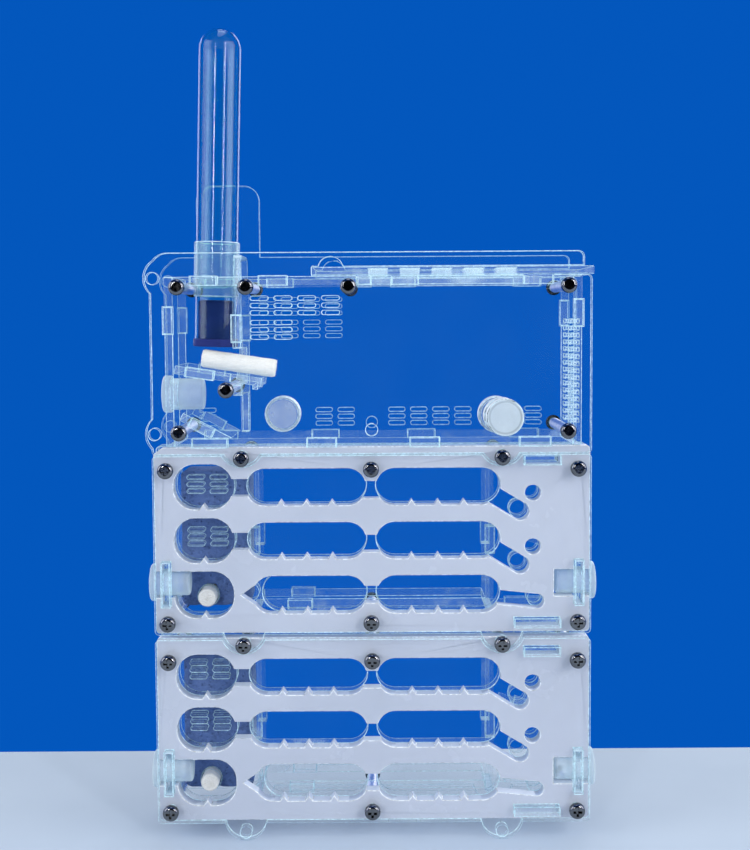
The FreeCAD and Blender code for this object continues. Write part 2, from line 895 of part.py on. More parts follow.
def side_plug(name, side, x, y, z, body_r, flange_r, flange, inside):
    body = new_body(name, x=x, y=y, z=z)
    body.Placement = FreeCAD.Placement(V(), FreeCAD.Rotation(V(0, 1, 0), -90 * side))
    sketch = new_sketch(body, "HalfSection", "XZ")
    plug_profile(sketch, body_r, flange_r, flange, inside)
    turn_solid(body, sketch)


def nest_plugs(name):
    body_r = size("port_bore") / 2 - size("port_play")
    for part, side in (("left_plug", -1), ("right_plug", 1)):
        x = (size("plate_half") + 0.05) * side
        side_plug(name + "_" + part, side, x, deep(CHAMBER_AT),
                  nest_base(name) + size("port_high"), body_r,
                  size("plug_flange_wide") / 2, size("plug_flange"), size("plug_inside"))


def build_nest(name):
    base = nest_base(name)
    nest_cover(name)
    nest_mask(name)
    nest_chambers(name)
    nest_divider(name)
    nest_back(name)
    side_wall(name, "left_wall", -1)
    side_wall(name, "right_wall", 1)
    stall_wall(name, "left_partition", -1)
    stall_wall(name, "right_partition", 1)
    flat_board(name + "_middle_floor", base, size("hall_floor_low"),
               -STALL_IN, STALL_IN, [HALL_TAB], DIVIDER_AT)
    flat_board(name + "_middle_roof", base, size("hall_roof_low"),
               -size("hall_roof_half"), size("hall_roof_half"), ROOF_TABS, DIVIDER_AT)
    flat_board(name + "_tower_floor", base, size("tower_floor_low"),
               size("stall_out"), TOWER_RIGHT, [TOWER_TAB], 0)
    flat_board(name + "_tower_roof", base, size("tower_roof_low"),
               size("tower_roof_left"), TOWER_RIGHT, [ROOF_TAB], 0)
    tower_ramp(name)
    sponge(name)
    nest_wick(name)
    nest_plugs(name)


# ---------------------------------------------------------------- house
ROOF_TOP = size("roof_low") + ACRYLIC
FLOOR_TABS = ((-64.5, -52.0), (-23.1, -12.8), (13.9, 24.3), (53.3, 64.3))
HOUSE_ROOF_TABS = ((-64.4, -55.0), (-39.9, -30.0), (-5.0, 0.0), (7.6, 16.9), (54.7, 65.0))
WALL_TAB_LOW = length(185.4)
WALL_TAB_TALL = length(9.6)
RIGHT_TAB_LOW = WALL_TAB_LOW + size("right_tab_rise")
DIVIDE_TAB = (182.4, 192.0)
SHELF = (LEFT_IN, size("shelf_left_top"), size("shelf_right"), size("shelf_right_top"))
HOUSE_RAMP = (size("ramp_left"), size("ramp_left_top"), size("ramp_right"),
              size("ramp_right_top"))
SHELF_TAB = (5.0, 15.0)
RAMP_TAB = (4.0, 13.0)
EAR_LEFT_OUT = size("plate_half") + size("side_ear_out")
SIDE_EAR_X = size("ear_radius") - EAR_LEFT_OUT
SIDE_EARS = (205.2, 149.4)
SIDE_HOLE_X = size("ear_hole_up") + 0.3 - EAR_LEFT_OUT


def vent_line(sketch, columns, z):
    for column in range(columns):
        x = size("vent_first") + size("vent_step") * column
        slot(sketch, x, x + size("vent_long"), z, size("vent_wide"))


def house_sheet(name, depth, lower_columns):
    """Front or back sheet of the foraging area."""
    half, low, top = size("plate_half"), size("house_low"), size("house_top")
    corner = size("plate_corner")
    body = upright(name, deep(depth), length(0), ACRYLIC, lambda s: loop(s, [
        (-half, low, corner), (half, low, corner), (half, top, corner), (-half, top, 6.5)]))
    for label, x in (("EarLeft", -EAR_X), ("EarRight", EAR_X)):
        add(body, label, lambda s, x=x: draw_ear(s, x, HOUSE_LINE), ACRYLIC)
    for number, z in enumerate(SIDE_EARS):
        add(body, "SideEar%d" % number,
            lambda s, z=z: circle(s, SIDE_EAR_X, z, size("ear_radius")), ACRYLIC)
    strip = half - size("strip_inset")
    slide_low = ROOF_TOP + 0.1
    slide_high = slide_low + size("lid_sheet") + size("lid_play") * 2
    lid_left = size("lid_left") - size("lid_play")

    strip_corner = size("strip_corner")

    def slide(sketch):
        loop(sketch, [(lid_left, slide_low, 0.3), (half, slide_low, strip_corner - 0.4),
                      (half, slide_low - 4), (half + 1, slide_low - 4),
                      (half + 1, top + 1), (strip - 4, top + 1), (strip - 4, top),
                      (strip, top, strip_corner), (strip, slide_high),
                      (lid_left, slide_high, 0.3)])

    def holes(sketch):
        screw_holes(sketch, HOUSE_SCREWS)
        for x in (-EAR_X, EAR_X):
            circle(sketch, x, HOUSE_LINE - size("ear_drop") + size("ear_hole_up"),
                   size("ear_bore") / 2)
        for z in SIDE_EARS:
            circle(sketch, SIDE_HOLE_X, z, size("ear_bore") / 2)
        circle(sketch, 0, 150.6, size("ear_bore") / 2)

    def tab_slots(sketch):
        for x1, x2 in FLOOR_TABS:
            oblong(sketch, x1 - GAP, size("floor_low") - GAP, x2 + GAP, FLOOR_TOP + GAP)
        for x1, x2 in HOUSE_ROOF_TABS:
            oblong(sketch, x1 - GAP, size("roof_low") - GAP, x2 + GAP, ROOF_TOP + GAP)
        for x, low in ((LEFT_OUT, WALL_TAB_LOW), (RIGHT_IN, RIGHT_TAB_LOW)):
            oblong(sketch, x - GAP, low - GAP, x + ACRYLIC + GAP, low + WALL_TAB_TALL + GAP)
        x = size("divide_left")
        oblong(sketch, x - GAP, DIVIDE_TAB[0] - GAP, x + ACRYLIC + GAP, DIVIDE_TAB[1] + GAP)
        gap = SIZES["tab_gap"]
        loop(sketch, slope_points(*SHELF, ACRYLIC, *SHELF_TAB, gap))
        loop(sketch, slope_points(*HOUSE_RAMP, ACRYLIC, *RAMP_TAB, gap))

    cut(body, "LidSlide", slide)
    arch_x, arch_r = size("lid_left") + size("arch_from_lid"), size("arch_radius")
    arch_top = slide_high - 0.9 + arch_r
    cut(body, "FingerArch", lambda s: loop(s, [
        (arch_x - arch_r, slide_low + 1), (arch_x + arch_r, slide_low + 1),
        (arch_x + arch_r, arch_top, arch_r - 0.02), (arch_x - arch_r, arch_top, arch_r - 0.02)]))
    cut(body, "Holes", holes)
    cut(body, "TabSlots", tab_slots)
    top = size("roof_low") - 4.8 - size("vent_row") * 2
    cut_slots(body, "XZ", 3, size("vent_row"), lambda s: vent_line(s, 4, top))
    low = top - 3.5 - size("vent_row") * 2
    cut_slots(body, "XZ", 3, size("vent_row"), lambda s: vent_line(s, lower_columns, low))
    return body


def house_front():
    house_sheet("outworld_front_plate", 0, 2)


def house_back():
    body = house_sheet("outworld_back_plate", BACK_AT, 4)
    high, corner = size("guard_high"), size("guard_corner")
    left, right = size("tube_foot_x") - 8.8, size("tube_foot_x") + 15.3
    add(body, "TubeGuard", lambda s: loop(s, [
        (left, size("house_top") - 3.0), (right, size("house_top") - 3.0),
        (right, high, corner), (left, high, corner)]), ACRYLIC)

    def low_vents(sketch):
        for x in (-66.5, -21.5, -13.0, 6.6, 15.1, 23.6, 32.1, 59.2):
            slot(sketch, x, x + size("vent_long"), FLOOR_TOP + 2.7, size("vent_wide"))

    cut_slots(body, "XZ", 3, size("vent_row"), low_vents)


def house_wall(name, start, port):
    """Left or right wall, between the front and back sheets."""
    body = new_body(name, y=deep(0))
    sketch = new_sketch(body, "Wall", "YZ", start)
    oblong(sketch, ACRYLIC, size("floor_low"), BACK_AT, ROOF_TOP)
    pad(body, sketch, ACRYLIC)
    sketch = new_sketch(body, "Tabs", "YZ", start)
    low = WALL_TAB_LOW if port else RIGHT_TAB_LOW
    oblong(sketch, 0, low, DEPTH, low + WALL_TAB_TALL)
    pad(body, sketch, ACRYLIC)
    if port:
        sketch = new_sketch(body, "Port", "YZ", start)
        circle(sketch, HALF, size("house_port_high"), size("house_port_bore") / 2)
        pocket(body, sketch)
        return

    def vents(sketch):
        for y in (HALF - 9.6, HALF + 3.2):
            slot(sketch, y, y + size("vent_long"), FLOOR_TOP + 5.2, size("vent_wide"))

    cut_slots(body, "YZ", 15, size("vent_row"), vents)


def house_floor():
    body = new_body("outworld_floor", y=deep(0))
    sketch = new_sketch(body, "Board", "XY", size("floor_low"))
    oblong(sketch, LEFT_IN, ACRYLIC, RIGHT_IN, BACK_AT)
    pad(body, sketch, ACRYLIC)
    sketch = new_sketch(body, "Tabs", "XY", size("floor_low"))
    for x1, x2 in FLOOR_TABS:
        oblong(sketch, x1, 0, x2, DEPTH)
    pad(body, sketch, ACRYLIC)


def house_roof():
    body = new_body("outworld_roof", y=deep(0))
    sketch = new_sketch(body, "Board", "XY", size("roof_low"))
    oblong(sketch, LEFT_IN, ACRYLIC, RIGHT_IN, BACK_AT)
    pad(body, sketch, ACRYLIC)
    sketch = new_sketch(body, "Tabs", "XY", size("roof_low"))
    for x1, x2 in HOUSE_ROOF_TABS:
        oblong(sketch, x1, 0, x2, DEPTH)
    pad(body, sketch, ACRYLIC)
    x = size("divide_left")
    sketch = new_sketch(body, "Hatch", "XY", size("roof_low"))
    oblong(sketch, size("lid_left") + 16.0, ACRYLIC + 6.0, 58.0, BACK_AT - 6.0, 4.0)
    oblong(sketch, x - GAP, DIVIDE_REACH[0] - GAP, x + ACRYLIC + GAP,
           DIVIDE_REACH[1] + GAP)
    pocket(body, sketch)
    sketch = new_sketch(body, "FeederHole", "XY", size("roof_low"))
    circle(sketch, FEEDER_X, HALF, FEEDER_ROOM)
    pocket(body, sketch)
    sketch = new_sketch(body, "PostRoom", "XZ")
    for x, z in HOUSE_SCREWS[:4]:
        circle(sketch, x, z, POST_R + size("post_room"))
    pocket(body, sketch)


DIVIDE_REACH = (7.0, 29.0)
TUBE_SLOPE = math.tan(math.radians(SIZES["tube_tilt"]))
FEEDER_X = size("tube_foot_x") + (ROOF_TOP - 1.5 - size("tube_foot")) * TUBE_SLOPE
COLLAR_R = size("tube_wide") / 2 + size("collar_play") + size("collar_wall")
FEEDER_ROOM = COLLAR_R + size("collar_room")


def partition():
    """Upright wall between the feeder room and the main room."""
    left = size("divide_left")
    body = new_body("outworld_partition", y=deep(0))
    sketch = new_sketch(body, "Wall", "YZ", left)
    oblong(sketch, ACRYLIC, FLOOR_TOP, BACK_AT, size("roof_low"))
    pad(body, sketch, ACRYLIC)
    sketch = new_sketch(body, "TopTab", "YZ", left)
    top = ROOF_TOP + size("tab_rise")
    loop(sketch, [(DIVIDE_REACH[0], size("roof_low") - 1), (DIVIDE_REACH[1], size("roof_low") - 1),
                  (DIVIDE_REACH[1], top, 3.0), (DIVIDE_REACH[0], top, 3.0)])
    pad(body, sketch, ACRYLIC)
    sketch = new_sketch(body, "Tabs", "YZ", left)
    oblong(sketch, 0, DIVIDE_TAB[0], DEPTH, DIVIDE_TAB[1])
    pad(body, sketch, ACRYLIC)
    sketch = new_sketch(body, "Openings", "YZ", left)
    oblong(sketch, ACRYLIC - 1, FLOOR_TOP - 1, ACRYLIC + 25.0, size("door_high"), 1.0)
    oblong(sketch, ACRYLIC - 1, size("hatch_low"), ACRYLIC + 21.0, size("hatch_high"), 1.0)
    pocket(body, sketch)
    sketch = new_sketch(body, "CollarRelief", "XY", size("hatch_high") - 1.0)
    circle(sketch, FEEDER_X + 0.4, HALF, FEEDER_ROOM)
    pocket(body, sketch, 40.0, backwards=True)


def shelf():
    x1, z1, x2, z2 = SHELF
    whole = root((x2 - x1) * (x2 - x1) + (z2 - z1) * (z2 - z1))
    body = new_body("feeding_shelf", y=deep(0))
    room_end = root((size("divide_left") - x1) * (size("divide_left") - x1)) - 0.5
    add(body, "Board", lambda s: loop(
        s, slope_points(x1, z1, x2, z2, ACRYLIC, 0.6, room_end)), ROOM, ACRYLIC)
    add(body, "Tongue", lambda s: loop(
        s, slope_points(x1, z1, x2, z2, ACRYLIC, room_end - 1.0, whole)), 20.0,
        ACRYLIC + 0.3)
    add(body, "Lip", lambda s: loop(
        s, slope_points(x1, z1, x2, z2, ACRYLIC + 1.5, whole - 3.0, whole - 1.0)), 20.0,
        ACRYLIC + 0.3)
    add(body, "Tabs", lambda s: loop(
        s, slope_points(x1, z1, x2, z2, ACRYLIC, *SHELF_TAB)), DEPTH, length(0))


def entry_ramp():
    x1, z1, x2, z2 = HOUSE_RAMP
    whole = root((x2 - x1) * (x2 - x1) + (z2 - z1) * (z2 - z1))
    body = new_body("entry_ramp", y=deep(0))
    add(body, "Board", lambda s: loop(
        s, slope_points(x1, z1, x2, z2, ACRYLIC, 0.0, whole)), ROOM, ACRYLIC)
    add(body, "Tabs", lambda s: loop(
        s, slope_points(x1, z1, x2, z2, ACRYLIC, *RAMP_TAB)), DEPTH, length(0))
    sketch = new_sketch(body, "FloorSeat", "XZ")
    oblong(sketch, x1 - 5, size("floor_low") - 5, x2 + 8, FLOOR_TOP)
    pocket(body, sketch)


def sliding_lid():
    body = new_body("sliding_lid", y=deep(0))
    low = ROOF_TOP + 0.1 + size("lid_play")
    right = size("plate_half") + size("lid_over")
    sketch = new_sketch(body, "Board", "XY", low)
    loop(sketch, [(size("lid_left"), 0, 0.8), (right, 0, 4.0),
                  (right, DEPTH, 4.0), (size("lid_left"), DEPTH, 0.8)])
    pad(body, sketch, size("lid_sheet"))

    def vents(sketch):
        for column in range(5):
            x = size("lid_left") + 19.8 + 11.8 * column
            slot(sketch, x, x + 7.2, HALF - size("vent_row") * 2.5, size("vent_wide"))

    cut_slots(body, "XY", 6, size("vent_row"), vents)


# ---------------------------------------------------------------- feeder
TILT = "placement(vector(%s; 0; %s); rotation(vector(0; 1; 0); Sizes.tube_tilt))"


def leaning_body(name):
    """A body whose own Z runs up the leaning axis of the water tube."""
    body = doc.addObject("PartDesign::Body", name)
    body.Label = name
    body.setExpression("Placement", TILT % ("Sizes.tube_foot_x", "Sizes.tube_foot"))
    BODIES[name] = body
    return body


def water_tube():
    body = leaning_body("water_tube")
    outer = size("tube_wide") / 2
    inner = outer - size("tube_wall")
    top = size("tube_long")
    sketch = new_sketch(body, "HalfSection", "XZ")
    loop(sketch, [(inner, 0), (outer, 0), (outer, top, outer - 0.05), (0, top),
                  (0, top - size("tube_wall")),
                  (inner, top - size("tube_wall"), inner - 0.05)])
    turn_solid(body, sketch)


def tube_stopper():
    body = leaning_body("tube_stopper")
    inside = size("tube_wide") / 2 - size("tube_wall") - size("stopper_play")
    sketch = new_sketch(body, "HalfSection", "XZ")
    flange = size("stopper_flange_wide") / 2
    loop(sketch, [(0, -size("stopper_flange")), (flange, -size("stopper_flange"), 0.5),
                  (flange, -GAP, 0.5), (inside, -GAP),
                  (inside, size("stopper_in"), 1.2), (0, size("stopper_in"))])
    turn_solid(body, sketch)


def tube_collar():
    body = leaning_body("tube_collar")
    inner = size("tube_wide") / 2 + size("collar_play")
    low = size("collar_from")
    sketch = new_sketch(body, "HalfSection", "XZ")
    oblong(sketch, inner, low, COLLAR_R, low + size("collar_long"))
    turn_solid(body, sketch)


def feeding_wick():
    """A cotton rod that lies on the shelf, under the stopper."""
    x1, z1, x2, z2 = SHELF
    r = size("rod_wide") / 2
    run, rise = x2 - x1, z2 - z1
    whole = root(run * run + rise * rise)
    lift = r + size("rest_gap") * 3
    along = size("rod_from")
    x = x1 + run / whole * along - rise / whole * lift
    z = z1 + rise / whole * along + run / whole * lift
    body = doc.addObject("PartDesign::Body", "feeding_wick")
    body.Label = "feeding_wick"
    place = "placement(vector(%s; %s; %s); rotation(vector(0; 1; 0); 90 deg + atan(%s)))"
    body.setExpression("Placement", place % (
        x.text, deep(12.5).text, z.text, (-rise / run).text))
    BODIES["feeding_wick"] = body
    sketch = new_sketch(body, "Section", "XY")
    circle(sketch, 0, 0, r)
    pad(body, sketch, size("rod_long"))


# ---------------------------------------------------------------- dishes
DISHES = (("dish_front", 48.4, 3.4), ("dish_middle", 48.0, 9.5),
          ("dish_rear", 46.6, 17.5), ("dish_left", -33.8, 25.5))


def dish(name, x, front):
    """A shallow round dish that stands on its rim, with its base to the front."""
    r = size("dish_wide") / 2
    wall = size("dish_wall")
    body = new_body(name, x=x, y=deep(front), z=FLOOR_TOP + r + size("rest_gap"))
    add(body, "Disc", lambda s: circle(s, 0, 0, r), size("dish_deep"))
    sketch = new_sketch(body, "Bowl", "XZ", -wall)
    circle(sketch, 0, 0, r - wall)
    pocket(body, sketch, size("dish_deep"))


# ---------------------------------------------------------------- fasteners
def screw_shape(name, shank):
    """Pan-head screw that points along +Z, with its head below zero."""
    body = doc.addObject("PartDesign::Body", name)
    sketch = new_sketch(body, "HalfSection", "XZ")
    head = size("head_wide") / 2
    tall = size("head_tall")
    loop(sketch, [(0, -tall), (head, -tall, 1.3), (head, 0), (SCREW_R, 0),
                  (SCREW_R, shank), (0, shank)])
    turn_solid(body, sketch)
    long_half, wide_half = size("cross_long") / 2, size("cross_wide") / 2
    for label, a, b in (("CrossA", long_half, wide_half), ("CrossB", wide_half, long_half)):
        sketch = new_sketch(body, label, "XY", -tall)
        oblong(sketch, -a, -b, a, b)
        pocket(body, sketch, size("cross_deep"), backwards=True)
    return body


def post_shape(name, wide, tall):
    body = doc.addObject("PartDesign::Body", name)
    sketch = new_sketch(body, "Section", "XY")
    circle(sketch, 0, 0, size(wide) / 2)
    circle(sketch, 0, 0, SCREW_R + size("bore_play"))
    pad(body, sketch, tall)
    return body


def copies(name, items):
    """One node of separate equal solids.  An item is (shape, x, y, z, turn),
    where the turn about X points the shape's own Z to the back or the front."""
    links = []
    for number, (shape, x, y, z, turn) in enumerate(items):
        link = doc.addObject("App::Link", "%s_%d" % (name, number))
        link.LinkedObject = shape
        link.LinkTransform = False
        place = "placement(vector(%s; %s; %s); rotation(vector(1; 0; 0); %d))"
        link.setExpression("Placement", place % (
            length(x).text, length(y).text, length(z).text, turn))
        links.append(link)
    group = doc.addObject("Part::Compound", name)
    group.Label = name
    group.Links = links
    BODIES[name] = group


def fasteners():
    long_screw = screw_shape("LongScrew", BOX_AT + size("thread_grip"))
    short_screw = screw_shape("ShortScrew", ACRYLIC + size("thread_grip"))
    nest_post = post_shape("NestPost", "standoff_wide", size("rear_box"))
    house_post = post_shape("HousePost", "post_wide", ROOM)
    front, back, nest_posts = [], [], []
    for name in ("lower_nest", "upper_nest"):
        for x, z in nest_screws(name):
            z = z + nest_base(name)
            front.append((long_screw, x, deep(0), z, -90))
            back.append((short_screw, x, deep(DEPTH), z, 90))
            nest_posts.append((nest_post, x, deep(BOX_AT), z, -90))
    house_posts = []
    for x, z in HOUSE_SCREWS:
        front.append((short_screw, x, deep(0), z, -90))
        back.append((short_screw, x, deep(DEPTH), z, 90))
        house_posts.append((house_post, x, deep(ACRYLIC), z, -90))
    copies("front_screws", front)
    copies("back_screws", back)
    copies("nest_standoffs", nest_posts)
    copies("outworld_standoffs", house_posts)


# ---------------------------------------------------------------- assembly
build_nest("lower_nest")
build_nest("upper_nest")
house_front()
house_back()
house_wall("outworld_left_wall", LEFT_OUT, True)
house_wall("outworld_right_wall", RIGHT_IN, False)
house_floor()
house_roof()
partition()
shelf()
entry_ramp()
sliding_lid()
water_tube()
tube_stopper()
tube_collar()
feeding_wick()
side_plug("outworld_port_plug", -1, LEFT_OUT - 0.05, 0, size("house_port_high"),
          size("house_port_bore") / 2 - size("port_play"), 6.9, ACRYLIC,
          size("house_plug_inside"))
for dish_name, dish_x, dish_front in DISHES:
    dish(dish_name, dish_x, dish_front)
fasteners()
doc.recompute()

failed = [o.Name for o in doc.Objects if "Invalid" in o.State or "Error" in o.State]
assert not failed, "failed objects: %s" % failed
os.makedirs("parts", exist_ok=True)
for node, item in BODIES.items():
    shape = item.Shape
    assert not shape.isNull() and shape.isValid(), "bad shape: " + node
    assert shape.Solids, "no solid: " + node
for node, item in BODIES.items():
    item.Shape.exportStep("parts/%s.step" % node)
print("nodes:", len(BODIES))
for node, item in BODIES.items():
    box = item.Shape.BoundBox
    print("%-32s %3d solids %9.1f mm3  X %.1f..%.1f Y %.1f..%.1f Z %.1f..%.1f" % (
        node, len(item.Shape.Solids), item.Shape.Volume, box.XMin, box.XMax,
        box.YMin, box.YMax, box.ZMin, box.ZMax))
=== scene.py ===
import bpy
import bmesh
import math
import random
from mathutils import Matrix, Vector, noise


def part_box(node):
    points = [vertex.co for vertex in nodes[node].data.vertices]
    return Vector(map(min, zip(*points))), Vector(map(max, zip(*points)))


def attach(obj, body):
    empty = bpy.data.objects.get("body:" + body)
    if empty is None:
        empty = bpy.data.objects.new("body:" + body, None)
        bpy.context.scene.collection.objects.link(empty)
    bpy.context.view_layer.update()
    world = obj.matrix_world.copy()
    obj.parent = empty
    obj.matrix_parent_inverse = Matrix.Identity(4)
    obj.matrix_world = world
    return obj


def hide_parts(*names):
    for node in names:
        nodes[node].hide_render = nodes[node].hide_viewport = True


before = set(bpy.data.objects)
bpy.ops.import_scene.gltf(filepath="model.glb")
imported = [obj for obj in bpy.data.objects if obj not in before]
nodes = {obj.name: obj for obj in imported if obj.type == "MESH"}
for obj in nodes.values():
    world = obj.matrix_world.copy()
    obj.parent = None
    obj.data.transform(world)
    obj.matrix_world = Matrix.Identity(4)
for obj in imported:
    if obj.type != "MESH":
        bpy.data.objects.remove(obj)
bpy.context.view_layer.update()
scene = bpy.context.scene
NESTS = ("lower_nest_", "upper_nest_")
ACRYLIC_IOR = 1.49

# How far each sloping sheet falls over its run, in millimetres.
SHELF_SLOPE = math.atan2(4.8, 31.8)
RAMP_SLOPE = math.atan2(9.0, 17.4)
TOWER_SLOPE = math.atan2(8.0, 21.5)

# Widths of the broken edges round the cuts, in metres.
THIN = 0.0002
MASK_EDGE = 0.00025
WALL_EDGE = 0.00026
BOLD = 0.0003


# ---------------------------------------------------------------- materials
class Look:
    """A node material round one Principled shader."""

    def __init__(self, name, **uniform):
        self.material = bpy.data.materials.new(name)
        self.material.use_nodes = True
        self.tree = self.material.node_tree
        self.shader = self.tree.nodes["Principled BSDF"]
        self.spot = self.add("ShaderNodeTexCoord").outputs
        for socket, value in uniform.items():
            self.shader.inputs[socket.replace("_", " ")].default_value = value

    def add(self, kind, **settings):
        node = self.tree.nodes.new(kind)
        for key, value in settings.items():
            setattr(node, key, value)
        return node

    def join(self, source, target):
        if isinstance(source, (int, float, tuple)):
            target.default_value = source
        else:
            self.tree.links.new(source, target)

    def math(self, operation, *values, clamp=False):
        node = self.add("ShaderNodeMath", operation=operation, use_clamp=clamp)
        for value, socket in zip(values, node.inputs):
            self.join(value, socket)
        return node.outputs[0]

    def vector(self, operation, *values):
        node = self.add("ShaderNodeVectorMath", operation=operation)
        for value, socket in zip(values, node.inputs):
            self.join(value, socket)
        return node.outputs

    def stretch(self, scale):
        node = self.add("ShaderNodeMapping")
        self.join(self.spot["Object"], node.inputs["Vector"])
        node.inputs["Scale"].default_value = scale
        return node.outputs[0]

    def noise(self, scale, detail=3.0, rough=0.55, vector=None):
        node = self.add("ShaderNodeTexNoise")
        self.join(vector or self.spot["Object"], node.inputs["Vector"])
        node.inputs["Scale"].default_value = scale
        node.inputs["Detail"].default_value = detail
        node.inputs["Roughness"].default_value = rough
        return node.outputs[0]

    def cells(self, scale):
        node = self.add("ShaderNodeTexVoronoi")
        self.join(self.spot["Object"], node.inputs["Vector"])
        node.inputs["Scale"].default_value = scale
        return node.outputs["Distance"]

    def between(self, value, low, high, to_low=0.0, to_high=1.0):
        node = self.add("ShaderNodeMapRange", clamp=True)
        self.join(value, node.inputs["Value"])
        for key, number in (("From Min", low), ("From Max", high),
                            ("To Min", to_low), ("To Max", to_high)):
            node.inputs[key].default_value = number
        return node.outputs["Result"]

    def blend(self, factor, one, two):
        """Between two colours, each a red, green and blue tuple or a node's output."""
        node = self.add("ShaderNodeMix", data_type="RGBA")
        self.join(factor, node.inputs["Factor"])
        for colour, socket in ((one, node.inputs[6]), (two, node.inputs[7])):
            self.join(colour + (1.0,) if isinstance(colour, tuple) else colour, socket)
        return node.outputs[2]

    def mix(self, factor, one, two):
        """Between two numbers."""
        node = self.add("ShaderNodeMix", data_type="FLOAT")
        for value, socket in ((factor, 0), (one, 2), (two, 3)):
            self.join(value, node.inputs[socket])
        return node.outputs[0]

    def graze(self):
        """From 0 where a face is seen square on to 1 where it is seen edge on."""
        node = self.add("ShaderNodeLayerWeight")
        node.inputs["Blend"].default_value = 0.5
        return node.outputs["Facing"]

    def along(self, direction):
        """How squarely a face lies across a direction, from 0 to 1."""
        return self.math("ABSOLUTE", self.vector("DOT_PRODUCT", self.spot["Normal"],
                                                 direction)["Value"])

    def drive(self, **sources):
        for socket, source in sources.items():
            self.join(source, self.shader.inputs[socket.replace("_", " ")])

    def bump(self, height, distance):
        node = self.add("ShaderNodeBump")
        node.inputs["Strength"].default_value = 1.0
        node.inputs["Distance"].default_value = distance
        self.join(height, node.inputs["Height"])
        self.join(node.outputs[0], self.shader.inputs["Normal"])


def scaled(colour, factor):
    return tuple(min(1.0, part * factor) for part in colour)


def clear_sheet(name, across, haze=0.004, edge=0.10, slot=None):
    """Clear acrylic sheet: its broad faces are polished and nearly unseen, and
    its laser-cut edges are finely ribbed and painted whiter and more opaque, a painted highlight
    with brighter patches.  slot is for level cuts through an upright wall, painted more opaque
    still, a stronger painted highlight where they catch more light."""
    look = Look(name, IOR=ACRYLIC_IOR, Specular_IOR_Level=0.8)
    broad = look.between(look.along(across), 0.86, 0.94)
    smudge = look.noise(38.0, 4.0, 0.6)
    graze = look.math("POWER", look.graze(), 5.0)
    face = look.math("ADD", look.between(smudge, 0.35, 0.75, haze * 0.5, haze * 1.5),
                     look.math("MULTIPLY", graze, 0.10), clamp=True)
    ribs = look.noise(2200.0, 2.0, 0.5, look.stretch(tuple(
        1.0 - 0.97 * abs(part) for part in across)))
    patchy_highlight = look.between(look.noise(75.0, 2.0), 0.56, 0.68, 0.0, 0.24)
    rim = look.math("ADD", look.between(ribs, 0.3, 0.7, edge - 0.03, edge + 0.03), patchy_highlight)
    if slot is not None:
        level = look.between(look.along((0, 0, 1)), 0.5, 0.8)
        rim = look.mix(level, rim, slot)
    look.drive(
        # Cut edges take a painted highlight, whiter than the sheet's own blue tint.
        Base_Color=look.blend(broad, (0.70, 0.89, 1.0), (0.30, 0.68, 0.95)),
        Alpha=look.mix(broad, rim, face),
        Roughness=look.mix(broad, look.between(ribs, 0.2, 0.8, 0.15, 0.35),
                           look.between(smudge, 0.3, 0.8, 0.03, 0.10)))
    look.bump(look.math("MULTIPLY", ribs, look.math("SUBTRACT", 1.0, broad)), 0.00004)
    return look.material


def sloping_sheet(name, slope, **settings):
    return clear_sheet(name, (math.sin(slope), 0, math.cos(slope)), **settings)


def cut_line(name, tint, solid):
    """The hair-thin broken edge all round a cut, painted whiter and more opaque than its sheet
    as a painted highlight where the cut catches the light.
    """
    look = Look(name, IOR=ACRYLIC_IOR, Specular_IOR_Level=0.9)
    nicks = look.noise(700.0, 3.0)
    patchy = look.between(nicks, 0.3, 0.7)
    look.drive(
        Base_Color=look.blend(patchy, scaled(tint, 0.9), tint),
        Alpha=look.between(nicks, 0.32, 0.62, solid * 0.55, solid),
        Roughness=look.between(nicks, 0.3, 0.7, 0.18, 0.34))
    return look.material


def milky_sheet():
    """Milky acrylic: even, softly clouded, painted brighter at its cut edges as a painted
    highlight.
    """
    look = Look("milky_acrylic", IOR=ACRYLIC_IOR, Subsurface_Weight=0.12,
                Subsurface_Radius=(0.004, 0.004, 0.005), Subsurface_Scale=0.6)
    broad = look.between(look.along((0, 1, 0)), 0.86, 0.94)
    cloud = look.noise(22.0, 4.0, 0.5)
    fine = look.noise(900.0, 3.0)
    # The faces' bluish grey is the sheet's own milky colour plus a painted blue cast of the
    # backdrop showing through.
    face = look.blend(look.between(cloud, 0.3, 0.7), (0.530, 0.575, 0.680),
                      (0.580, 0.622, 0.728))
    look.drive(
        # Cut edges painted lighter than the faces, a painted highlight.
        Base_Color=look.blend(broad, (0.66, 0.73, 0.84), face),
        Roughness=look.between(look.noise(60.0, 4.0), 0.3, 0.7, 0.17, 0.30))
    look.bump(look.math("ADD", fine, look.math("MULTIPLY", cloud, 2.0)), 0.00002)
    return look.material


def sponge_foam():
    """Blue foam with large and small open cells, painted darker inside the cells as painted
    shade.
    """
    look = Look("sponge_foam", Roughness=0.92, Specular_IOR_Level=0.2)
    pores = look.cells(620.0)
    small = look.cells(1900.0)
    pits_and_shade = look.math("ADD", look.between(pores, 0.05, 0.45),
                     look.math("MULTIPLY", look.between(small, 0.05, 0.4), 0.5))
    tint = look.blend(look.between(look.noise(70.0, 4.0), 0.3, 0.7),
                      (0.100, 0.170, 0.410), (0.150, 0.235, 0.500))
    # Pore depth sets both the bump and a painted shade in the pores.
    look.drive(Base_Color=look.blend(look.between(pits_and_shade, 0.15, 0.9), (0.028, 0.055, 0.190), tint))
    look.bump(pits_and_shade, 0.0005)
    return look.material


